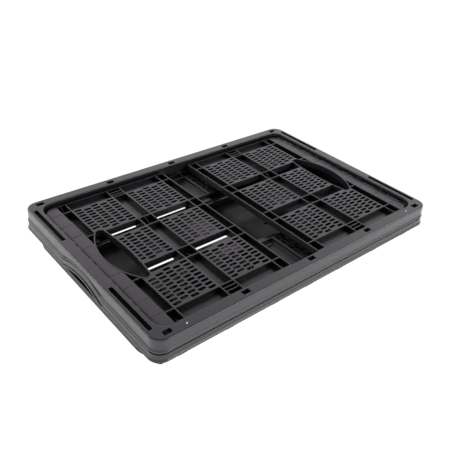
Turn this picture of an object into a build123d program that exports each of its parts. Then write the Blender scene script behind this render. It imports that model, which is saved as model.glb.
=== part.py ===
from build123d import *
import math
import os

# Collapsible storage crate, modelled folded flat.
# +Z is up.  The origin is the centre of the footprint on the ground plane.
# X runs between the two short ends (left is -X), Y runs from front (-Y) to rear.
# All lengths are millimetres.

os.makedirs("parts", exist_ok=True)

# ------------------------------------------------------------------ overall sizes
LENGTH = 534.0            # outer length of rim and base band
WIDTH = 369.6             # outer width of rim and base band
FOLDED_HEIGHT = 50.0      # ground to flange top when folded
CORNER_R = 18.0           # outer corner radius in plan
DRAFT = 1.1               # how far the side walls lean in between the beads
SHELL_T = 3.7             # rim and band wall, measured from the bead's outer face
LAP = 0.2                 # overlap of a joined feature with the plate it meets
RIB_HALF_T = 0.9          # half thickness of the ribs of rim and base
SIDES = (-1, 1)

# hinges of the long sides
SIDE_T = 10.5             # wall thickness
SIDE_X = 240.0            # half length of a wall half
HINGE_Y = 171.5           # base and rim hinge lines
MID_Y = 67.0              # middle hinge line when folded
MID_Z = 18.15             # plane where the two outer faces meet
FACE_GAP = 0.25           # each outer face stays this far from that plane
BASE_AXIS_Z = MID_Z - FACE_GAP - SIDE_T / 2
RIM_AXIS_Z = MID_Z + FACE_GAP + SIDE_T / 2
KNUCKLE_R = 4.0
MID_KNUCKLE_R = 3.2
ROD_R = 1.5
MID_ROD_R = 1.2
SIDE_ROD_X = 237.0        # half length of the long rods
RUN = 0.05                # running clearance of a rod in a knuckle

# hinges of the end walls
END_AXIS_X = 247.5
END_AXIS_Z = 41.6
END_ROD_R = 1.3
END_KNUCKLE_R = 2.2
END_ROD_Y = 158.0         # half length of the end rods


def mirror_spans(spans):
    """Each span followed by its mirror image about zero, unless it is centred."""
    out = []
    for a, b in spans:
        out.append((a, b))
        if a != -b:
            out.append((-b, -a))
    return out


# knuckle spans: X for the long sides, Y for the short ends
FIXED_KNUCKLES = mirror_spans([(-8.0, 8.0), (60.0, 72.0), (140.0, 152.0), (215.0, 227.0)])
SWING_KNUCKLES = mirror_spans([(8.6, 20.0), (48.0, 59.4), (72.6, 84.0), (128.0, 139.4),
                               (152.6, 164.0), (203.0, 214.4), (227.6, 236.0)])
MID_BLOCKS = mirror_spans([(-10.0, 10.0), (104.0, 122.0), (200.0, 236.0)])
END_FIXED = mirror_spans([(-5.0, 5.0), (47.6, 56.1), (98.7, 107.2), (150.0, 157.0)])
END_SWING = mirror_spans([(5.5, 12.3), (40.3, 47.1), (56.6, 63.4), (91.4, 98.2),
                          (107.7, 114.5), (142.5, 149.5)])


# ------------------------------------------------------------------ helpers
line = Edge.make_line
arc = Edge.make_three_point_arc


def block(x0, x1, y0, y1, z0, z1):
    """Box between two corners; X and Y limits may come in either order."""
    x0, x1 = min(x0, x1), max(x0, x1)
    y0, y1 = min(y0, y1), max(y0, y1)
    return Solid.make_box(x1 - x0, y1 - y0, z1 - z0, Plane(origin=(x0, y0, z0)))


def rounded_block(length, width, radius, z0, z1, taper=0.0):
    """Centred block with rounded corners in plan."""
    outline = Plane.XY.offset(z0) * RectangleRounded(length, width, radius)
    return extrude(outline, z1 - z0, taper=taper)


def draft_angle(height):
    """Taper in degrees that moves a wall by DRAFT over this height."""
    return math.degrees(math.atan(DRAFT / height))


def prism(points, axis, start, end):
    """Polygon swept along one axis.  Points are (y, z) for X and (x, z) for Y."""
    if axis == "x":
        corners = [Vector(start, p[0], p[1]) for p in points]
        sweep_by = Vector(end - start, 0, 0)
    else:
        corners = [Vector(p[0], start, p[1]) for p in points]
        sweep_by = Vector(0, end - start, 0)
    return Solid.extrude(Face(Wire.make_polygon(corners, close=True)), sweep_by)


def rod_x(y, z, radius, x0, x1):
    plane = Plane(origin=(x0, y, z), x_dir=(0, 1, 0), z_dir=(1, 0, 0))
    return Solid.make_cylinder(radius, x1 - x0, plane)


def rod_y(x, z, radius, y0, y1):
    plane = Plane(origin=(x, y0, z), x_dir=(1, 0, 0), z_dir=(0, 1, 0))
    return Solid.make_cylinder(radius, y1 - y0, plane)


def union(parts):
    return parts[0].fuse(*parts[1:])


def rect_wire(x0, x1, y0, y1, z):
    corners = [(x0, y0), (x1, y0), (x1, y1), (x0, y1)]
    return Wire.make_polygon([Vector(x, y, z) for x, y in corners], close=True)


def slot_wire(cx, cy, lx, ly, z):
    """Oblong with half-round ends, long along the larger of lx and ly."""
    if lx >= ly:
        r, h = ly / 2, lx / 2 - ly / 2
        corners = [(cx - h, cy - r), (cx + h, cy - r), (cx + h, cy + r), (cx - h, cy + r)]
        tips = [(cx + h + r, cy), (cx - h - r, cy)]
    else:
        r, h = lx / 2, ly / 2 - lx / 2
        corners = [(cx + r, cy - h), (cx + r, cy + h), (cx - r, cy + h), (cx - r, cy - h)]
        tips = [(cx, cy + h + r), (cx, cy - h - r)]
    a, b, c, d = [Vector(x, y, z) for x, y in corners]
    tip1, tip2 = [Vector(x, y, z) for x, y in tips]
    return Wire([line(a, b), arc(b, tip1, c), line(c, d), arc(d, tip2, a)])


def plate(x0, x1, y0, y1, z0, thickness, slots=()):
    """Flat plate with slots (cx, cy, lx, ly); limits may come in either order."""
    x0, x1 = min(x0, x1), max(x0, x1)
    y0, y1 = min(y0, y1), max(y0, y1)
    face = Face(rect_wire(x0, x1, y0, y1, z0), [slot_wire(*slot, z0) for slot in slots])
    return Solid.extrude(face, Vector(0, 0, thickness))


def rib_lattice(x0, x1, y0, y1, z0, thickness, cells):
    """Plate with rectangular cells (x0, x1, y0, y1) left out."""
    face = Face(rect_wire(x0, x1, y0, y1, z0), [rect_wire(*cell, z0) for cell in cells])
    return Solid.extrude(face, Vector(0, 0, thickness))


def row_centres(middle, count, pitch):
    """Centres of an evenly pitched row about its middle."""
    return [middle + (i - (count - 1) / 2) * pitch for i in range(count)]


def single(shape):
    """The one solid of a piece, or a compound if it is in several."""
    # clean() can fail on a difficult boolean result; the uncleaned shape then serves
    try:
        shape = shape.clean()
    except Exception:
        pass
    solids = shape.solids()
    return solids[0] if len(solids) == 1 else Compound(children=list(solids))


def save(shape, name):
    shape.label = name
    export_step(shape, os.path.join("parts", name + ".step"))


# ------------------------------------------------------------------ carrying arches
ARCH_HALF = 57.0          # half width of each arch at the short ends
ARCH_RISE = 10.5          # rise at the middle
ARCH_STEPS = 24


def arch_points(x, base):
    points = []
    for i in range(ARCH_STEPS + 1):
        y = -ARCH_HALF + 2 * ARCH_HALF * i / ARCH_STEPS
        t = y / ARCH_HALF
        points.append(Vector(x, y, base + ARCH_RISE * max(0.0, (1 - t * t)) ** 1.25))
    return points


def arch_wall(x0, x1, lower, upper):
    """Wall between two arched edges, swept from x0 to x1."""
    low = arch_points(x0, lower)
    up = arch_points(x0, upper)
    edges = [Edge.make_spline(low), line(low[-1], up[-1]),
             Edge.make_spline(list(reversed(up))), line(up[0], low[0])]
    return Solid.extrude(Face(Wire(edges)), Vector(x1 - x0, 0, 0))


def arch_void(x0, x1, base, floor):
    """Everything under an arched edge, down to a flat floor."""
    top = arch_points(x0, base)
    a, b = Vector(x0, -ARCH_HALF, floor), Vector(x0, ARCH_HALF, floor)
    edges = [Edge.make_spline(top), line(top[-1], b), line(b, a), line(a, top[0])]
    return Solid.extrude(Face(Wire(edges)), Vector(x1 - x0, 0, 0))


# ------------------------------------------------------------------ top rim
RIM_Z0 = 30.2             # lower edge of the rim wall
RIM_BEAD_H = 2.0
RIM_NECK_H = 2.0
RIM_WALL_H = 12.8         # leaning wall between neck and top band
FLANGE_T = 2.6            # flange thickness
FLANGE_EDGE_R = 1.7
OPEN_X = 250.0            # half length of the mouth
OPEN_Y = 168.0            # half width of the mouth
OPEN_R = 20.0             # mouth corner radius
MOUTH_EDGE_R = 1.2
SKIRT_T = 2.2             # skirt wall round the mouth
SKIRT_Z0 = 31.4           # lower edge of that skirt
FLANGE_LAP_Z = FOLDED_HEIGHT - FLANGE_T + LAP   # top of what hangs from the flange

RIM_RIB_X = (-216, -184, -152, -92, -61, -31, 31, 61, 92, 152, 184, 216)
RIM_RIB_Y = (-60, -30, 0, 30, 60)
RIM_RIB_Z0 = 33.6         # lower edge of the ribs along the long sides
RIM_END_RIB_Z0 = 44.0     # lower edge of the ribs at the ends

# lid sockets and lid slots in the flange
SOCKET_X = (-245.0, -122.5, 0.0, 122.5, 245.0)
SOCKET_Y = 174.3
SOCKET_LX, SOCKET_LY, SOCKET_DEPTH = 12.6, 8.0, 6
TROUGH_X0, TROUGH_X1 = 255.8, 262.4
TROUGH_Y0, TROUGH_Y1 = 64.5, 160.5
TROUGH_Z = 44.0           # floor of the trough
TROUGH_T = 1.6            # trough wall and floor
TROUGH_OUTER_T = 1.0      # trough wall towards the rim wall
NOTCH_LX, NOTCH_LY = 4.6, 5.0
NOTCH_Z0, NOTCH_Z1 = 41.0, 46.0


def rim_shell():
    """Leaning wall with bead and flange, and the skirt round the mouth."""
    neck_z = RIM_Z0 + RIM_BEAD_H
    wall_z = neck_z + RIM_NECK_H
    top_z = wall_z + RIM_WALL_H
    bead = rounded_block(LENGTH, WIDTH, CORNER_R, RIM_Z0, neck_z)
    neck = rounded_block(LENGTH, WIDTH, CORNER_R, neck_z, wall_z,
                         taper=draft_angle(RIM_NECK_H))
    wall = rounded_block(LENGTH - 2 * DRAFT, WIDTH - 2 * DRAFT, CORNER_R - DRAFT,
                         wall_z, top_z, taper=-draft_angle(RIM_WALL_H))
    top = rounded_block(LENGTH, WIDTH, CORNER_R, top_z, FOLDED_HEIGHT)
    top = fillet(top.faces().sort_by(Axis.Z)[-1].edges(), FLANGE_EDGE_R)
    body = union([bead, neck, wall, top])
    body = body.cut(rounded_block(LENGTH - 2 * SHELL_T, WIDTH - 2 * SHELL_T,
                                  CORNER_R - SHELL_T, RIM_Z0 - 1, FOLDED_HEIGHT - FLANGE_T))
    body = body.fuse(rounded_block(2 * (OPEN_X + SKIRT_T), 2 * (OPEN_Y + SKIRT_T),
                                   OPEN_R + SKIRT_T, SKIRT_Z0, FLANGE_LAP_Z))
    body = body.cut(rounded_block(2 * OPEN_X, 2 * OPEN_Y, OPEN_R,
                                  RIM_Z0 - 5, FOLDED_HEIGHT + 1))
    # fillet() wants a Part, and a boolean may return another shape class
    if not isinstance(body, Part) and hasattr(body, "wrapped"):
        body = Part(body.wrapped)
    mouth_edges = [e for e in body.edges() if abs(e.center().Z - FOLDED_HEIGHT) < 0.01
                   and abs(e.center().X) <= OPEN_X + 0.1 and abs(e.center().Y) <= OPEN_Y + 0.1]
    # the kernel may refuse this fillet; the mouth then keeps its sharp edge
    try:
        body = fillet(mouth_edges, MOUTH_EDGE_R)
    except Exception:
        pass
    return body


def make_top_rim():
    body = rim_shell()
    adds, cuts = [], []
    # stiffening ribs between the skirt and the outer wall
    for sy in SIDES:
        for x in RIM_RIB_X:
            adds.append(block(x - RIB_HALF_T, x + RIB_HALF_T, sy * (OPEN_Y + 1.0),
                              sy * (WIDTH / 2 - 3.0), RIM_RIB_Z0, FLANGE_LAP_Z))
    for sx in SIDES:
        for y in RIM_RIB_Y:
            adds.append(block(sx * (OPEN_X + 1.0), sx * (LENGTH / 2 - 3.0), y - RIB_HALF_T,
                              y + RIB_HALF_T, RIM_END_RIB_Z0, FLANGE_LAP_Z))
        # trough under each lid slot, with a deep notch at its corner end
        for sy in SIDES:
            ya, yb = sorted((sy * TROUGH_Y0, sy * TROUGH_Y1))
            adds.append(block(sx * (TROUGH_X0 - TROUGH_T), sx * (TROUGH_X1 + TROUGH_OUTER_T),
                              ya - TROUGH_T, yb + TROUGH_T, TROUGH_Z - TROUGH_T, FLANGE_LAP_Z))
            cuts.append(block(sx * TROUGH_X0, sx * TROUGH_X1, ya, yb,
                              TROUGH_Z, FOLDED_HEIGHT + 1))
            notch_y = sy * TROUGH_Y1
            cuts.append(block(sx * TROUGH_X0, sx * (TROUGH_X0 + NOTCH_LX),
                              notch_y, notch_y - sy * NOTCH_LY, NOTCH_Z0, NOTCH_Z1))
    # rectangular lid sockets
    for sy in SIDES:
        for x in SOCKET_X:
            cuts.append(block(x - SOCKET_LX / 2, x + SOCKET_LX / 2,
                              sy * SOCKET_Y - SOCKET_LY / 2, sy * SOCKET_Y + SOCKET_LY / 2,
                              FOLDED_HEIGHT - SOCKET_DEPTH, FOLDED_HEIGHT + 1))
    # arched lower edge at the ends
    for sx in SIDES:
        cuts.append(arch_void(sx * (LENGTH / 2 - 5.0), sx * (LENGTH / 2 + 1.0),
                              RIM_Z0, RIM_Z0 - 2))
    body = body.fuse(*adds)
    body = body.cut(*cuts)

    # bead along each arch
    adds = []
    for sx in SIDES:
        adds.append(arch_wall(sx * (LENGTH / 2 - 3.2), sx * (LENGTH / 2),
                              RIM_Z0, RIM_Z0 + RIM_BEAD_H))
    # brackets for the long hinges, hanging from the skirt
    for sy in SIDES:
        for a, b in FIXED_KNUCKLES:
            adds.append(rod_x(sy * HINGE_Y, RIM_AXIS_Z, KNUCKLE_R, a, b))
            adds.append(block(a, b, sy * (OPEN_Y + 0.2), sy * (HINGE_Y + 3.4),
                              RIM_AXIS_Z, SKIRT_Z0 + 3.0))
    # brackets for the end hinges
    for sx in SIDES:
        axis_x = sx * END_AXIS_X
        for a, b in END_FIXED:
            adds.append(rod_y(axis_x, END_AXIS_Z, END_KNUCKLE_R, a, b))
            adds.append(block(axis_x, sx * (OPEN_X + 1.0), a, b,
                              END_AXIS_Z - END_KNUCKLE_R, END_AXIS_Z + END_KNUCKLE_R))
    body = body.fuse(*adds)
    bores = [rod_x(sy * HINGE_Y, RIM_AXIS_Z, ROD_R + RUN, -SIDE_X, SIDE_X) for sy in SIDES]
    bores += [rod_y(sx * END_AXIS_X, END_AXIS_Z, END_ROD_R + RUN, -160, 160) for sx in SIDES]
    return single(body.cut(*bores))


# ------------------------------------------------------------------ base tray
BAND_Z0, BAND_Z1 = 17.0, 27.3
BAND_BEAD_H = 1.8
BAND_NECK_H = 1.4
LIP_T, LIP_H = 1.1, 4.0   # thin upper edge of the band
FLOOR_Z0, FLOOR_Z1 = 4.4, 6.6
FOOT_X, FOOT_Y, FOOT_R = 259.5, 163.0, 34.0
FOOT_T = 2.5              # foot ring wall
TRAY_WIDTH, TRAY_R = 358.6, 26
POCKET_WIDTH, POCKET_R = 354.8, 21
SILL_Z = 8.6              # top of the sill under each finger opening
BASE_RIB_X = (0, 98, -98, 192, -192)
BASE_RIB_Y = (-125, -75, -30, 30, 75, 125)
BASE_RIB_Z0 = 0.6
STAND_Z = FLOOR_Z1 - 0.4  # start of walls that stand on the floor

# floor windows: x0, x1, y0, y1
FLOOR_WINDOWS = ((-166, -120.5, -13.0, -6.4), (-80.5, -18, -13.4, -6.8),
                 (-167, -120, 93.4, 100), (-80.5, -22.5, 93.8, 100.4))

# blind pits in the floor, each with a cup beneath
PITS = ((57, -20.5), (-57, 20.5))
PIT_X, PIT_Y, PIT_Z = 4, 2.6, 2.0        # half sizes and floor height
CUP_T, CUP_Z = 1.2, 0.8                  # cup wall and underside

# L-shaped walls at the floor corners
POST_X0, POST_X1 = 243, 257.2
POST_Y0, POST_Y1 = 160, 172
POST_T = 2


def under_slope(side, y0, y1, z0, z1, drop):
    """Wedge under a slope rising outward from (y0, z0) to (y1, z1)."""
    return prism([(side * y0, z0), (side * y0, z0 - drop),
                  (side * y1, z0 - drop), (side * y1, z1)], "x", -300, 300)


def tray_shell():
    """Outer band and sloping-sided tray, hollowed from above."""
    neck_z = BAND_Z0 + BAND_BEAD_H
    band = rounded_block(LENGTH - 2 * DRAFT, WIDTH - 2 * DRAFT, CORNER_R - DRAFT,
                         BAND_Z0, BAND_Z1)
    bead = rounded_block(LENGTH, WIDTH, CORNER_R, BAND_Z0, neck_z)
    neck = rounded_block(LENGTH, WIDTH, CORNER_R, neck_z, neck_z + BAND_NECK_H,
                         taper=draft_angle(BAND_NECK_H))
    tray = rounded_block(2 * FOOT_X, TRAY_WIDTH, TRAY_R, FLOOR_Z0, BAND_Z0 + 0.5)
    for s in SIDES:
        tray = tray.cut(under_slope(s, 172.5, 192, FLOOR_Z0, 23.9, 2))
    body = union([band, bead, neck, tray])
    cavity = rounded_block(LENGTH - 2 * SHELL_T, WIDTH - 2 * SHELL_T, CORNER_R - SHELL_T,
                           BAND_Z0 + 2.0, BAND_Z1 + 1)
    pocket = rounded_block(2 * (FOOT_X - FOOT_T), POCKET_WIDTH, POCKET_R,
                           FLOOR_Z1, BAND_Z0 + 3.0)
    for s in SIDES:
        pocket = pocket.cut(under_slope(s, 171.9, 190, FLOOR_Z1, 24.7, 1))
    lip_inset = DRAFT + LIP_T
    lip = rounded_block(LENGTH - 2 * lip_inset, WIDTH - 2 * lip_inset, CORNER_R - lip_inset,
                        BAND_Z1 - LIP_H, BAND_Z1 + 1)
    return body.cut(cavity, pocket, lip)


def make_base_tray():
    body = tray_shell()
    adds, cuts = [], []
    # foot ring and underside ribs
    foot_top = FLOOR_Z0 + LAP
    foot = rounded_block(2 * FOOT_X, 2 * FOOT_Y, FOOT_R, 0, foot_top)
    adds.append(foot.cut(rounded_block(2 * (FOOT_X - FOOT_T), 2 * (FOOT_Y - FOOT_T),
                                       FOOT_R - FOOT_T, -1, FLOOR_Z0 + 1)))
    for x in BASE_RIB_X:
        adds.append(block(x - RIB_HALF_T, x + RIB_HALF_T, -FOOT_Y + 1, FOOT_Y - 1,
                          BASE_RIB_Z0, foot_top))
    for y in BASE_RIB_Y:
        adds.append(block(-FOOT_X + 1, FOOT_X - 1, y - RIB_HALF_T, y + RIB_HALF_T,
                          BASE_RIB_Z0, foot_top))
    for window in FLOOR_WINDOWS:
        cuts.append(block(*window, FLOOR_Z0 - 0.01, FLOOR_Z1 + 1))
    for x, y in PITS:
        cup_x, cup_y = PIT_X + CUP_T, PIT_Y + CUP_T
        adds.append(block(x - cup_x, x + cup_x, y - cup_y, y + cup_y, CUP_Z, foot_top))
        cuts.append(block(x - PIT_X, x + PIT_X, y - PIT_Y, y + PIT_Y, PIT_Z, FLOOR_Z1 + 1))
    # finger openings at the ends
    for sx in SIDES:
        cuts.append(arch_void(sx * (FOOT_X - 4.0), sx * (LENGTH / 2 + 1.0), BAND_Z0, SILL_Z))
    body = body.fuse(*adds)
    body = body.cut(*cuts)

    # arched handle band, its bead, and the roof of the finger opening
    adds = []
    for sx in SIDES:
        adds.append(arch_wall(sx * (LENGTH / 2 - 2.4), sx * (LENGTH / 2 - DRAFT),
                              BAND_Z0, BAND_Z1))
        adds.append(arch_wall(sx * (LENGTH / 2 - SHELL_T), sx * (LENGTH / 2),
                              BAND_Z0, BAND_Z0 + 2.2))
        adds.append(arch_wall(sx * (FOOT_X - FOOT_T), sx * (LENGTH / 2 - 1.0),
                              BAND_Z0 + 0.4, BAND_Z0 + 2.4))
    # inner baffle behind each finger opening
    for sx in SIDES:
        adds.append(block(sx * 246.0, sx * 247.6, -62, 62, STAND_Z, 25.5))
    # hinge brackets standing on the floor
    for sy in SIDES:
        for a, b in FIXED_KNUCKLES:
            adds.append(rod_x(sy * HINGE_Y, BASE_AXIS_Z, KNUCKLE_R, a, b))
            adds.append(block(a, b, sy * (HINGE_Y - 3.5), sy * (HINGE_Y + 3.5),
                              FLOOR_Z1 - 1.2, BASE_AXIS_Z))
    # corner posts
    for sx in SIDES:
        for sy in SIDES:
            adds.append(block(sx * POST_X0, sx * POST_X1, sy * POST_Y0,
                              sy * (POST_Y0 + POST_T), STAND_Z, BAND_Z1 - 2))
            adds.append(block(sx * POST_X0, sx * (POST_X0 + POST_T), sy * POST_Y0,
                              sy * POST_Y1, STAND_Z, BAND_Z1 - 2))
    body = body.fuse(*adds)
    bores = [rod_x(sy * HINGE_Y, BASE_AXIS_Z, ROD_R + RUN, -SIDE_X, SIDE_X) for sy in SIDES]
    return single(body.cut(*bores))


# ------------------------------------------------------------------ long sides
# Both wall halves are built for the rear (+Y) and mirrored for the front.
RIB = 1.6                 # rib thickness of all panels
PLATE_T = 1.5             # perforated plate thickness
FLOOR_T = 2.0             # thickness of the channel floors
SIDE_COLS = [(12.0, 100.0), (124.0, 192.0)]      # perforated bays along X, mirrored
LATTICE_X = [-238.4, -204, -192, -124, -100, -12, 12, 100, 124, 192, 204, 238.4]
BAY_Y = 151.0             # edge of the bays towards the base or rim hinge
LATTICE_Y1 = 166.5        # lattice edge at that hinge
MID_EDGE_Y = MID_Y + 0.3  # panel edge at the middle hinge
SIDE_EDGE_T = 1.8         # short walls at the panel's two ends
# X spans of the plain areas, for the positive side
END_BAY = (203.5, 239.0)
WIDE_CHANNEL = (99.5, 124.5)
NARROW_CHANNEL = (191.5, 204.5)
HINGE_CHANNEL = (-239.0, 239.0, 150.5, 165.5)    # x0, x1, y0, y1


def side_lattice(z0, bay_y0):
    rib_y = [bay_y0, BAY_Y, 164.9]
    h = RIB / 2
    cells = []
    for i in range(len(LATTICE_X) - 1):
        for j in range(len(rib_y) - 1):
            cells.append((LATTICE_X[i] + h, LATTICE_X[i + 1] - h,
                          rib_y[j] + h, rib_y[j + 1] - h if j == 0 else rib_y[j + 1]))
    return rib_lattice(-SIDE_X, SIDE_X, bay_y0 - h, LATTICE_Y1, z0, SIDE_T, cells)


def half_pipe(half, y0, y1, z, rise, thickness):
    """Channel along Y: its lowest line at height z, its edges rise above it."""
    left, bottom, right = [Vector(x, y0, z + dz)
                           for x, dz in ((-half, rise), (0, 0), (half, rise))]
    up = Vector(0, 0, thickness)
    profile = Wire([arc(left, bottom, right), line(right, right + up),
                    arc(right + up, bottom + up, left + up), line(left + up, left)])
    return Solid.extrude(Face(profile), Vector(0, y1 - y0, 0))


def add_middle_knuckles(body, owns_centre):
    """Middle hinge: the lower half owns each centre knuckle, the upper half the outer two."""
    end_gap, radial_gap = 0.3, 0.45
    cuts, adds = [], []
    for x0, x1 in MID_BLOCKS:
        third = (x1 - x0) / 3
        centre = [(x0 + third, x1 - third)]
        outer = [(x0, x0 + third - end_gap), (x1 - third + end_gap, x1)]
        own, other = (centre, outer) if owns_centre else (outer, centre)
        cuts += [rod_x(MID_Y, MID_Z, MID_KNUCKLE_R + radial_gap, a - end_gap, b + end_gap)
                 for a, b in other]
        adds += [rod_x(MID_Y, MID_Z, MID_KNUCKLE_R, a, b) for a, b in own]
    return body.cut(*cuts).fuse(*adds)


def add_swing_knuckles(body, axis_z):
    """Base or rim hinge knuckles, then the bores of both hinge rods."""
    adds = []
    for a, b in SWING_KNUCKLES:
        adds.append(rod_x(HINGE_Y, axis_z, KNUCKLE_R, a, b))
        adds.append(block(a, b, 165.4, HINGE_Y, axis_z - 3.8, axis_z + 3.8))
    body = body.fuse(*adds)
    return body.cut(rod_x(MID_Y, MID_Z, MID_ROD_R + RUN, -SIDE_X - 1, SIDE_X + 1),
                    rod_x(HINGE_Y, axis_z, ROD_R + RUN, -SIDE_X - 1, SIDE_X + 1))


def upper_slots(side, x0, x1):
    """Staggered columns of slots in one bay of the upper half."""
    pitch_x, pitch_y = 8.2, 14.4
    count = int((x1 - x0 - 4) // pitch_x)
    slots = []
    for i, x in enumerate(row_centres((x0 + x1) / 2, count, pitch_x)):
        stagger = pitch_y / 2 if i % 2 else 0.0
        for j in range(5):
            y = 86.9 + stagger + j * pitch_y
            if y + 6.2 < 150:
                slots.append((side * x, y, 5.2, 12.2))
    return slots


def lower_slots(side, x0, x1):
    """Two rows of slots in one bay of the lower half."""
    pitch = 11.0
    count = int((x1 - x0 - 8) // pitch)
    return [(side * x, y, 4.6, 19.0)
            for x in row_centres((x0 + x1) / 2, count, pitch) for y in (113.5, 137.8)]


def make_upper():
    z0 = MID_Z + FACE_GAP
    z1 = z0 + SIDE_T
    bay_y0 = 80.1
    parts = [side_lattice(z0, bay_y0)]
    for s in SIDES:
        for a, b in SIDE_COLS:
            parts.append(plate(s * a, s * b, bay_y0, BAY_Y, z1 - PLATE_T, PLATE_T,
                               upper_slots(s, a, b)))
        # plain end bays and the channels between the bays
        for (a, b), z, slots in ((END_BAY, z1 - 4.2, ()),
                                 (WIDE_CHANNEL, z0 + 2.0, [(s * 112.0, 115.0, 8.0, 56.0)]),
                                 (NARROW_CHANNEL, z0 + 2.0, ())):
            parts.append(plate(s * a, s * b, bay_y0, BAY_Y, z, FLOOR_T, slots))
    parts.append(half_pipe(12.3, bay_y0, BAY_Y, z0 + 1.4, 4.6, 1.8))
    # channel floor along the rim hinge
    parts.append(plate(*HINGE_CHANNEL, z0 + 3.0, FLOOR_T))
    body = union(parts)
    # the edge under the perforated fields is chamfered
    body = body.cut(prism([(78.0, z0 - 1), (78.0, z0 + 6.2), (86.4, z0 - 0.4),
                           (86.4, z0 - 1)], "x", -250, 250))
    # low edge rib carrying the middle hinge
    parts = [block(-SIDE_X, SIDE_X, MID_EDGE_Y, MID_Y + 2.7, z0, z0 + 3.1)]
    for s in SIDES:
        parts.append(block(s * (SIDE_X - SIDE_EDGE_T), s * SIDE_X, MID_EDGE_Y, 90.0,
                           z0, z0 + 5.0))
    for a, b in MID_BLOCKS:
        parts.append(block(a, b, MID_EDGE_Y, 88.5, z0, z0 + 5.6))
    body = body.fuse(*parts)
    body = add_middle_knuckles(body, owns_centre=False)
    return single(add_swing_knuckles(body, RIM_AXIS_Z))


def make_lower():
    z1 = MID_Z - FACE_GAP
    z0 = z1 - SIDE_T
    bay_y0 = 100.2
    parts = [side_lattice(z0, bay_y0)]
    # the inner face is underneath when folded
    for s in SIDES:
        for a, b in SIDE_COLS:
            parts.append(plate(s * a, s * b, bay_y0, BAY_Y, z0, PLATE_T,
                               lower_slots(s, a, b)))
        for (a, b), z, thickness in ((END_BAY, z0 + 2.0, PLATE_T),
                                     (WIDE_CHANNEL, z1 - 4.0, FLOOR_T),
                                     (NARROW_CHANNEL, z1 - 4.0, FLOOR_T)):
            parts.append(plate(s * a, s * b, bay_y0, BAY_Y, z, thickness))
    parts.append(plate(-12.5, 12.5, bay_y0, BAY_Y, z1 - 4.4, FLOOR_T))
    parts.append(plate(*HINGE_CHANNEL, z1 - 5.0, FLOOR_T))
    # edge rib carrying the middle hinge, and the posts of the window row
    parts.append(block(-SIDE_X, SIDE_X, MID_EDGE_Y, MID_Y + 3.0, z0, z1))
    for s in SIDES:
        parts.append(block(s * (SIDE_X - SIDE_EDGE_T), s * SIDE_X, MID_EDGE_Y, bay_y0,
                           z0, z1))
    post_y = bay_y0 + 0.4
    for a, b in MID_BLOCKS:
        parts.append(block(a, b, MID_EDGE_Y, post_y, z1 - 5.6, z1))
        parts.append(block(a, a + RIB, MID_EDGE_Y, post_y, z0, z1))
        parts.append(block(b - RIB, b, MID_EDGE_Y, post_y, z0, z1))
    body = add_middle_knuckles(union(parts), owns_centre=True)
    return single(add_swing_knuckles(body, BASE_AXIS_Z))


# ------------------------------------------------------------------ end walls
END_TOP = 43.6
END_T = 10.5
END_BOT = END_TOP - END_T
END_X0, END_X1 = 27.5, 246.0
END_Y = 162.5
END_CORNER_R = 17.0
COL = (43.5, 114.7, 138.0, 210.0, 225.5)      # rib lines along X
ROW = (38.7, 62.5, 138.7)                     # rib lines along Y, mirrored
FIELD_ROWS = [(-ROW[2], -ROW[1]), (-ROW[0], ROW[0]), (ROW[1], ROW[2])]
EDGE_Y = END_Y - RIB / 2                      # middle of the long edge ribs
ROW_FLOOR = 35.7
COL_FLOOR = 35.8
EDGE_FLOOR = 36.6
DEEP_T = 1.8                                  # floor of the deep channels

# perforations
PERF_L, PERF_W = 12.3, 5.3
PERF_PX, PERF_PY = 14.08, 8.25

# hand hole: bowed inner edge, its corners, and the bow of the outer edge
HAND_X_IN, HAND_X_OUT = 192.0, 230.0
HAND_IN_CORNER = (196.8, 61.0)
HAND_OUT_CORNER = (210.0, 63.6)
HAND_END = (202.4, 67.6)                      # furthest point of the rounded ends


def hand_hole(z0, z1, grow=0.0):
    def at(x, y):
        return Vector(x, y, z0)

    out_x, out_y = HAND_OUT_CORNER[0] + grow * 0.6, HAND_OUT_CORNER[1] + grow * 0.9
    in_x, in_y = HAND_IN_CORNER[0] - grow, HAND_IN_CORNER[1] + grow * 0.3
    end_x, end_y = HAND_END[0], HAND_END[1] + grow
    outline = Wire([
        arc(at(out_x, -out_y), at(HAND_X_OUT + grow, 0), at(out_x, out_y)),
        arc(at(out_x, out_y), at(end_x, end_y), at(in_x, in_y)),
        arc(at(in_x, in_y), at(HAND_X_IN - grow, 0), at(in_x, -in_y)),
        arc(at(in_x, -in_y), at(end_x, -end_y), at(out_x, -out_y)),
    ])
    return Solid.extrude(Face(outline), Vector(0, 0, z1 - z0))


def end_outline(z0, z1, inset=0.0):
    """Panel outline with two rounded corners at the hinge edge."""
    def at(x, y):
        return Vector(x, y, z0)

    x0, x1, y1 = END_X0 + inset, END_X1 - inset, END_Y - inset
    r = END_CORNER_R - inset
    k = r * (1 - math.sqrt(0.5))
    outline = Wire([
        line(at(x0, -y1), at(x1 - r, -y1)),
        arc(at(x1 - r, -y1), at(x1 - k, -y1 + k), at(x1, -y1 + r)),
        line(at(x1, -y1 + r), at(x1, y1 - r)),
        arc(at(x1, y1 - r), at(x1 - k, y1 - k), at(x1 - r, y1)),
        line(at(x1 - r, y1), at(x0, y1)),
        line(at(x0, y1), at(x0, -y1)),
    ])
    return Solid.extrude(Face(outline), Vector(0, 0, z1 - z0))


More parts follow.
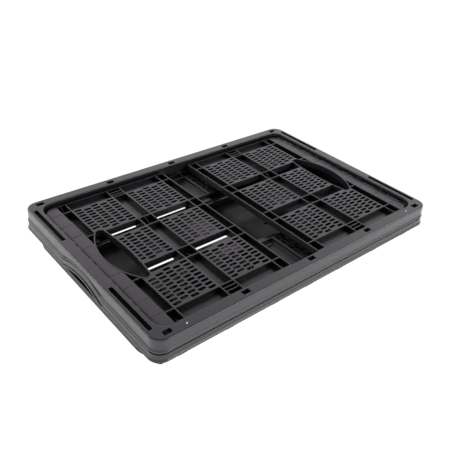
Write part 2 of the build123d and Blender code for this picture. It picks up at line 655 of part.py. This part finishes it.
def end_lattice():
    h = RIB / 2
    xs = [END_X0 + h] + list(COL)
    ys = [-EDGE_Y] + [-r for r in reversed(ROW)] + list(ROW) + [EDGE_Y]
    cells = [(xs[i] + h, xs[i + 1] - h, ys[j] + h, ys[j + 1] - h)
             for i in range(len(xs) - 1) for j in range(len(ys) - 1)]
    # one open cell under the strip beside the hinge
    cells.append((COL[4] + h, END_X1 - RIB, -END_Y + RIB, END_Y - RIB))
    return rib_lattice(END_X0, END_X1, -END_Y, END_Y, END_BOT, END_T, cells)


def end_slots(x0, x1, y0, y1):
    """Staggered slots of one field, cut short beside the hand hole."""
    bow = HAND_IN_CORNER[0] - HAND_X_IN
    slots = []
    for i, x in enumerate(row_centres((x0 + x1) / 2, 5, PERF_PX)):
        count = 9 if i % 2 == 0 else 8
        for y in row_centres((y0 + y1) / 2, count, PERF_PY):
            start, end = x - PERF_L / 2, x + PERF_L / 2
            if abs(y) < 72.0:
                end = min(end, HAND_X_IN + bow * (y / HAND_IN_CORNER[1]) ** 2 - 2.6)
            if end - start > PERF_W + 1.0:
                slots.append(((start + end) / 2, y, end - start, PERF_W))
    return slots


def end_fill():
    """Plates, channel floors, gussets and strip that fill the lattice."""
    parts = []
    for xa, xb in ((COL[0], COL[1]), (COL[2], COL[3])):
        for ya, yb in FIELD_ROWS:
            parts.append(plate(xa, xb, ya, yb, END_TOP - PLATE_T, PLATE_T,
                               end_slots(xa, xb, ya, yb)))
        # the row channels stay open; only the edge channels are floored
        for s in SIDES:
            parts.append(plate(xa, xb, s * ROW[2], s * EDGE_Y, EDGE_FLOOR - FLOOR_T, FLOOR_T))
    # column channel between the two perforated columns
    for ya, yb in FIELD_ROWS:
        parts.append(plate(COL[1], COL[2], ya, yb, COL_FLOOR - FLOOR_T, FLOOR_T))
    for s in SIDES:
        for ya, yb in ((ROW[0], ROW[1]), (ROW[2], EDGE_Y)):
            parts.append(plate(COL[1], COL[2], s * ya, s * yb, ROW_FLOOR - 2.6, FLOOR_T))
        for y in (145.6, 152.6):
            parts.append(block(COL[1], COL[2], s * y - 0.7, s * y + 0.7,
                               END_BOT, END_TOP - 0.6))
        # diagonal gusset in each crossing
        gusset = prism([(ROW[0], ROW_FLOOR - 1.0), (ROW[1], ROW_FLOOR - 1.0),
                        (ROW[1], END_TOP - 1.4)], "x", 125.6, 127.0)
        parts.append(gusset if s > 0 else gusset.mirror(Plane.XZ))
    # gusset at each end of the deep channel beside the strip
    for s in SIDES:
        gusset = prism([(ROW[2], END_BOT), (END_Y - 0.8, END_BOT),
                        (END_Y - 0.8, END_TOP - 1.0)], "x", 216.9, 218.2)
        parts.append(gusset if s > 0 else gusset.mirror(Plane.XZ))
    # deep channels beside the strip and along the free edge
    for xa, xb in ((COL[3], COL[4]), (END_X0 + RIB / 2, COL[0])):
        parts.append(plate(xa, xb, -EDGE_Y, EDGE_Y, END_BOT, DEEP_T))
    # smooth strip beside the hinge
    parts.append(block(COL[4] - RIB / 2, END_X1, -END_Y, END_Y, END_TOP - 2.6, END_TOP))
    return parts


def make_end():
    """Right-hand end wall, folded flat, hinge edge at +X."""
    below, above = END_BOT - 1, END_TOP + 1
    body = end_lattice().fuse(*end_fill())
    body = body.intersect(end_outline(below, above))
    # intersect() may return a list of shapes
    if isinstance(body, ShapeList):
        body = body[0]
    ring = end_outline(END_BOT, END_TOP).cut(end_outline(below, above, RIB))
    body = body.fuse(ring)
    # rounded upper edge along the hinge, and grooves across the strip
    nose = prism([(END_X1 + 1, above), (END_X1 + 1, END_TOP - 1.2), (END_X1, END_TOP - 1.2),
                  (END_X1 - 0.5, END_TOP - 0.6), (END_X1 - 1.6, END_TOP - 0.2),
                  (END_X1 - 3.4, END_TOP), (END_X1 - 3.4, above)], "y", -200, 200)
    grooves = [block(COL[4] + 1.5, END_X1 - 3.5, s * y - 0.45, s * y + 0.45,
                     END_TOP - 0.3, above)
               for y in (38, 71, 104, 137) for s in SIDES]
    body = body.cut(nose, *grooves)
    # hand hole with its full-depth collar
    body = body.cut(hand_hole(below, above, 1.0))
    body = body.fuse(hand_hole(END_BOT, END_TOP + 0.25, 1.7).cut(hand_hole(below, above)))
    # hinge edge, cleared round the knuckles of the rim
    body = body.cut(*[rod_y(END_AXIS_X, END_AXIS_Z, END_KNUCKLE_R + 0.25, a - 0.4, b + 0.4)
                      for a, b in END_FIXED])
    body = body.cut(rod_y(END_AXIS_X, END_AXIS_Z, END_ROD_R + 0.15, -170, 170))
    adds = []
    for a, b in END_SWING:
        adds.append(rod_y(END_AXIS_X, END_AXIS_Z, END_KNUCKLE_R, a, b))
        adds.append(block(END_X1 - 1.0, END_AXIS_X, a, b,
                          END_AXIS_Z - END_KNUCKLE_R, END_AXIS_Z + 2.0))
    body = body.fuse(*adds)
    return single(body.cut(rod_y(END_AXIS_X, END_AXIS_Z, END_ROD_R + RUN, -170, 170)))


# ------------------------------------------------------------------ build
end_panel = make_end()
save(end_panel.mirror(Plane.YZ), "left_end_panel")
save(end_panel, "right_end_panel")

for half, panel in (("upper", make_upper()), ("lower", make_lower())):
    save(panel, f"rear_{half}_panel")
    save(panel.mirror(Plane.XZ), f"front_{half}_panel")

save(make_top_rim(), "top_rim")
save(make_base_tray(), "base_tray")

# long hinge rods: name, y, z, radius
LONG_RODS = (("base", HINGE_Y, BASE_AXIS_Z, ROD_R),
             ("rim", HINGE_Y, RIM_AXIS_Z, ROD_R),
             ("middle", MID_Y, MID_Z, MID_ROD_R))
for s, side in ((-1, "front"), (1, "rear")):
    for hinge, y, z, radius in LONG_RODS:
        save(rod_x(s * y, z, radius, -SIDE_ROD_X, SIDE_ROD_X), f"{hinge}_hinge_rod_{side}")
for s, side in ((-1, "left"), (1, "right")):
    save(rod_y(s * END_AXIS_X, END_AXIS_Z, END_ROD_R, -END_ROD_Y, END_ROD_Y),
         f"end_hinge_rod_{side}")
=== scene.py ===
"""Black plastic tray box with a rim, side panels and steel hinge wires, on a white sweep.

The box stands on z = 0 with its long side along X; the camera looks down from -X, -Y.
"""

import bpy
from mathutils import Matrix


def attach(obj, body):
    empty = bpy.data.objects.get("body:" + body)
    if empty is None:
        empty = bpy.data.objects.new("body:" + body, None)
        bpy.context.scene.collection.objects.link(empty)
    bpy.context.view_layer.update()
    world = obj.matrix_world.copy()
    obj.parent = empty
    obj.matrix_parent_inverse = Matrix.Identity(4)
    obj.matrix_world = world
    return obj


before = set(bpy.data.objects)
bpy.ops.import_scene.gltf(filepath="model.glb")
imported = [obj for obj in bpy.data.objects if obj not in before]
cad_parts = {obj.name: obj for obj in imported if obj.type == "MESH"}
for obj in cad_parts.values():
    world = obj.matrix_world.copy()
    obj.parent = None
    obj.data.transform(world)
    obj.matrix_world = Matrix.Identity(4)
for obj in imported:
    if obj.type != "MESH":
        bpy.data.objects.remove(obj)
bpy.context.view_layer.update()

import bpy
from mathutils import Matrix, Vector


# ---------------------------------------------------------------- node helpers
def empty_tree(owner):
    """Node tree of a material or world, with the default nodes removed."""
    owner.use_nodes = True
    owner.node_tree.nodes.clear()
    return owner.node_tree


def set_inputs(tree, node, inputs):
    """Link the inputs that are given a socket and set the others to a value."""
    for key, value in inputs.items():
        if isinstance(value, bpy.types.NodeSocket):
            tree.links.new(value, node.inputs[key])
        else:
            node.inputs[key].default_value = value


def add_node(tree, kind, inputs=None, **settings):
    node = tree.nodes.new("ShaderNode" + kind)
    for setting, value in settings.items():
        setattr(node, setting, value)
    set_inputs(tree, node, inputs or {})
    return node


def add_ramp(tree, factor, stops):
    """Colour ramp through (position, RGBA) stops; returns its colour socket."""
    ramp = add_node(tree, "ValToRGB", {0: factor})
    elements = ramp.color_ramp.elements
    for i, (position, color) in enumerate(stops):
        element = elements[i] if i < 2 else elements.new(position)
        element.position = position
        element.color = color
    return ramp.outputs[0]


def tinted(color, factors):
    """RGBA of a colour scaled channel by channel."""
    return (*(channel * factor for channel, factor in zip(color, factors)), 1)


def start_surface(name):
    """Material with a Principled surface; returns it, its tree, shader and object coordinates."""
    material = bpy.data.materials.new(name)
    tree = empty_tree(material)
    output = add_node(tree, "OutputMaterial")
    shader = add_node(tree, "BsdfPrincipled")
    tree.links.new(shader.outputs[0], output.inputs[0])
    coords = add_node(tree, "TexCoord").outputs["Object"]
    return material, tree, shader, coords


# ---------------------------------------------------------------- plastic
PIGMENT_DARK = (0.86, 0.86, 0.88)    # factors on the base colour
PIGMENT_LIGHT = (1.16, 1.14, 1.17)
# painted edge highlight colour, as factors on the base colour
EDGE_HIGHLIGHT = (3.2, 3.2, 3.3)
EDGE_RADIUS = 0.0007                 # rounding seen on the edges
EDGE_HIGHLIGHT_MAX = 0.55                     # most of the painted edge highlight an edge can take
ROUGHNESS_SPREAD = 0.035             # either side of the mean, along the flow marks
GRAIN_STRENGTH = 0.10
GRAIN_HEIGHT = 0.00012


def plastic(name, base, rough, reach, deep):
    """Moulded satin plastic: fine grain, faint flow marks, softened edges with a painted
    highlight.

    reach is how far a cavity is felt for, deep is how much painted shade darkens its colour.
    """
    material, tree, shader, coords = start_surface(name)

    # Slight cloudy variation of the pigment
    cloud = add_node(tree, "TexNoise",
                     {"Vector": coords, "Scale": 9.0, "Detail": 4.0, "Roughness": 0.6})
    pigment = add_ramp(tree, cloud.outputs[0], (
        (0.35, tinted(base, PIGMENT_DARK)),
        (0.68, tinted(base, PIGMENT_LIGHT)),
    ))

    # Painted edge highlight, where the rounded normal differs from the true one
    rounded = add_node(tree, "Bevel", {"Radius": EDGE_RADIUS}, samples=6)
    geometry = add_node(tree, "NewGeometry")
    agreement = add_node(tree, "VectorMath",
                         {0: rounded.outputs[0], 1: geometry.outputs["Normal"]},
                         operation="DOT_PRODUCT")
    edge_highlight = add_node(tree, "MapRange", {
        "Value": agreement.outputs["Value"],
        "From Min": 0.995, "From Max": 0.90, "To Min": 0.0, "To Max": EDGE_HIGHLIGHT_MAX,
    })
    highlighted = add_node(tree, "MixRGB", {
        "Fac": edge_highlight.outputs[0], "Color1": pigment, "Color2": tinted(base, EDGE_HIGHLIGHT),
    })

    # Painted shade: corners and slots that light hardly reaches are darkened and made matt
    occlusion = add_node(tree, "AmbientOcclusion", {"Distance": reach}, samples=6)
    cavity_shade = add_node(tree, "MapRange", {
        "Value": occlusion.outputs["AO"],
        "From Min": 0.45, "From Max": 0.98, "To Min": 1.0 - deep, "To Max": 1.0,
    })
    shaded = add_node(tree, "VectorMath", operation="SCALE")
    set_inputs(tree, shaded, {0: highlighted.outputs[0], "Scale": cavity_shade.outputs[0]})
    specular = add_node(tree, "Math", {0: cavity_shade.outputs[0], 1: 0.5}, operation="MULTIPLY")

    # Broad, faint flow marks in the roughness, drawn out along X
    stretched = add_node(tree, "Mapping", {"Vector": coords, "Scale": (6.0, 40.0, 40.0)})
    flow = add_node(tree, "TexNoise",
                    {"Vector": stretched.outputs[0], "Scale": 1.4, "Detail": 3.0})
    roughness = add_node(tree, "MapRange", {
        "Value": flow.outputs[0], "From Min": 0.3, "From Max": 0.7,
        "To Min": rough - ROUGHNESS_SPREAD, "To Max": rough + ROUGHNESS_SPREAD,
    })

    # Grain bump on top of the rounded normal
    fine = add_node(tree, "TexNoise", {"Vector": coords, "Scale": 1500.0, "Detail": 2.0})
    cells = add_node(tree, "TexVoronoi", {"Vector": coords, "Scale": 900.0})
    grain = add_node(tree, "Math", {0: fine.outputs[0], 1: cells.outputs["Distance"]},
                     operation="ADD")
    bump = add_node(tree, "Bump", {
        "Strength": GRAIN_STRENGTH, "Distance": GRAIN_HEIGHT,
        "Height": grain.outputs[0], "Normal": rounded.outputs[0],
    })

    set_inputs(tree, shader, {
        "Base Color": shaded.outputs[0],
        "Specular IOR Level": specular.outputs[0],
        "Roughness": roughness.outputs[0],
        "Normal": bump.outputs[0],
        "IOR": 1.49,
    })
    return material


# ---------------------------------------------------------------- hinge wire
def steel(name):
    """Zinc-plated wire with mottled colour and roughness and small scuffs."""
    material, tree, shader, coords = start_surface(name)
    mottle = add_node(tree, "TexNoise", {"Vector": coords, "Scale": 260.0, "Detail": 5.0})
    color = add_ramp(tree, mottle.outputs[0], (
        (0.0, (0.13, 0.13, 0.14, 1)),
        (1.0, (0.27, 0.27, 0.29, 1)),
    ))
    roughness = add_node(tree, "MapRange",
                         {"Value": mottle.outputs[0], "To Min": 0.24, "To Max": 0.46})
    bump = add_node(tree, "Bump",
                    {"Height": mottle.outputs[0], "Strength": 0.15, "Distance": 0.00005})
    set_inputs(tree, shader, {
        "Base Color": color,
        "Metallic": 1.0,
        "Roughness": roughness.outputs[0],
        "Normal": bump.outputs[0],
    })
    return material


# ---------------------------------------------------------------- materials on the pieces
RIM = plastic("rim_plastic", base=(0.0066, 0.0062, 0.0076), rough=0.30, reach=0.008, deep=0.75)
BASE = plastic("base_plastic", base=(0.0090, 0.0085, 0.0102), rough=0.34, reach=0.024, deep=0.80)
PANEL = plastic("panel_plastic", base=(0.0070, 0.0066, 0.0082), rough=0.33, reach=0.018, deep=0.70)
WIRE = steel("hinge_wire")


def material_for(piece_name):
    if "rod" in piece_name:
        return WIRE
    return {"top_rim": RIM, "base_tray": BASE}.get(piece_name, PANEL)


for piece_name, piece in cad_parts.items():
    piece.data.materials.clear()
    piece.data.materials.append(material_for(piece_name))


# ---------------------------------------------------------------- gate marks
GATE_RADIUS = 0.0012
GATE_DEPTH = 0.0005
GATE_Y, GATE_Z = -0.1764, 0.0501
GATE_X = {"left": -0.218, "right": 0.219}


def torn_plastic(name):
    """Trimmed injection gate: torn, whitened plastic."""
    material, tree, shader, coords = start_surface(name)
    speckle = add_node(tree, "TexNoise", {"Vector": coords, "Scale": 900.0})
    color = add_ramp(tree, speckle.outputs[0], (
        (0.0, (0.30, 0.30, 0.31, 1)),
        (1.0, (0.80, 0.80, 0.80, 1)),
    ))
    bump = add_node(tree, "Bump", {"Height": speckle.outputs[0], "Distance": 0.0001})
    set_inputs(tree, shader, {
        "Base Color": color, "Normal": bump.outputs[0], "Roughness": 0.6,
    })
    return material


def add_gate_mark(side, x, material):
    """Small upright disc on the rim, near its -Y side."""
    bpy.ops.mesh.primitive_cylinder_add(vertices=20, radius=GATE_RADIUS, depth=GATE_DEPTH,
                                        location=(x, GATE_Y, GATE_Z))
    mark = bpy.context.object
    mark.name = "gate_mark_" + side
    mark.data.materials.append(material)
    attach(mark, "rim")


gate_white = torn_plastic("gate_white")
for side, x in GATE_X.items():
    add_gate_mark(side, x, gate_white)


# ---------------------------------------------------------------- floor
FLOOR_SIZE = 12.0
FLOOR_Z = -0.0004      # just under the box
FLOOR_GLOW = 0.84      # light the floor adds to the scene
FLOOR_SEEN = 1.05      # brightness the camera sees: burnt out to white


def floor_material(name):
    material = bpy.data.materials.new(name)
    tree = empty_tree(material)
    output = add_node(tree, "OutputMaterial")
    diffuse = add_node(tree, "BsdfDiffuse")
    cloud = add_node(tree, "TexNoise", {"Scale": 3.0})
    color = add_ramp(tree, cloud.outputs[0], (
        (0.0, (0.80, 0.80, 0.81, 1)),
        (1.0, (0.88, 0.88, 0.885, 1)),
    ))
    set_inputs(tree, diffuse, {"Color": color})
    glow = add_node(tree, "Emission", {"Color": (1, 1, 1, 1), "Strength": FLOOR_GLOW})
    lit = add_node(tree, "AddShader", {0: diffuse.outputs[0], 1: glow.outputs[0]})
    seen = add_node(tree, "Emission", {"Strength": FLOOR_SEEN})
    path = add_node(tree, "LightPath")
    surface = add_node(tree, "MixShader", {
        "Fac": path.outputs["Is Camera Ray"], 1: lit.outputs[0], 2: seen.outputs[0],
    })
    set_inputs(tree, output, {0: surface.outputs[0]})
    return material


bpy.ops.mesh.primitive_plane_add(size=FLOOR_SIZE, location=(0, 0, FLOOR_Z))
floor = bpy.context.object
floor.name = "floor"
floor.data.materials.append(floor_material("pale_floor"))


# ---------------------------------------------------------------- world
SKY_STRENGTH = 1.03
SKY_TINT = (1.03, 0.975, 1.02)
# (height in the sky, brightness): bright at the horizon, dark overhead
SKY = ((0.0, 1.55), (0.52, 1.55), (0.72, 0.70), (0.92, 0.08))


def build_world():
    world = bpy.data.worlds.new("studio")
    bpy.context.scene.world = world
    tree = empty_tree(world)
    output = add_node(tree, "OutputWorld")
    background = add_node(tree, "Background", {"Strength": SKY_STRENGTH})
    coords = add_node(tree, "TexCoord")
    axes = add_node(tree, "SeparateXYZ", {0: coords.outputs["Generated"]})
    color = add_ramp(tree, axes.outputs["Z"],
                     [(height, tinted((value,) * 3, SKY_TINT)) for height, value in SKY])
    set_inputs(tree, background, {"Color": color})
    set_inputs(tree, output, {0: background.outputs[0]})


build_world()


# ---------------------------------------------------------------- lights
def area_light(name, location, target, size, power):
    """Rectangular light of (width, height) size, aimed at the target."""
    light = bpy.data.lights.new(name, "AREA")
    light.shape = "RECTANGLE"
    light.size, light.size_y = size
    light.energy = power
    lamp = bpy.data.objects.new(name, light)
    bpy.context.scene.collection.objects.link(lamp)
    lamp.location = location
    lamp.rotation_mode = "QUATERNION"
    aim = Vector(target) - Vector(location)
    lamp.rotation_quaternion = aim.to_track_quat("-Z", "Y")


area_light("edge_right", location=(1.22, -1.32, 1.13), target=(0, -0.18, 0.05),
           size=(1.7, 0.26), power=20)
area_light("edge_left", location=(-1.43, 1.46, 0.79), target=(-0.26, 0, 0.05),
           size=(1.1, 0.26), power=15)
area_light("front_fill", location=(0.9, -1.9, 0.7), target=(0, 0, 0),
           size=(1.2, 0.7), power=12)


# ---------------------------------------------------------------- camera
CAMERA_LOCATION = (-0.621093, -0.703846, 0.606672)
CAMERA_RIGHT = Vector((0.752089, -0.656023, 0.063281))
CAMERA_UP = Vector((0.149678, 0.263519, 0.952973))
CAMERA_VIEW = Vector((0.641841, 0.707243, -0.296388))
SENSOR_WIDTH = 36.0                        # mm, as is the focal length
FOCAL_LENGTH = 51.2992258
LENS_SHIFT = (-0.0418064516, -0.397655914)   # x, y in frame widths


def add_camera():
    camera = bpy.data.cameras.new("camera")
    holder = bpy.data.objects.new("camera", camera)
    bpy.context.scene.collection.objects.link(holder)
    camera.sensor_width = SENSOR_WIDTH
    camera.lens = FOCAL_LENGTH
    camera.shift_x, camera.shift_y = LENS_SHIFT
    camera.clip_start, camera.clip_end = 0.01, 50
    # The columns are the camera's axes and place; it looks along its own -Z
    columns = (CAMERA_RIGHT, CAMERA_UP, -CAMERA_VIEW, CAMERA_LOCATION)
    holder.matrix_world = Matrix((*zip(*columns), (0, 0, 0, 1)))
    bpy.context.scene.camera = holder


add_camera()
bpy.context.scene.view_settings.view_transform = "Standard"
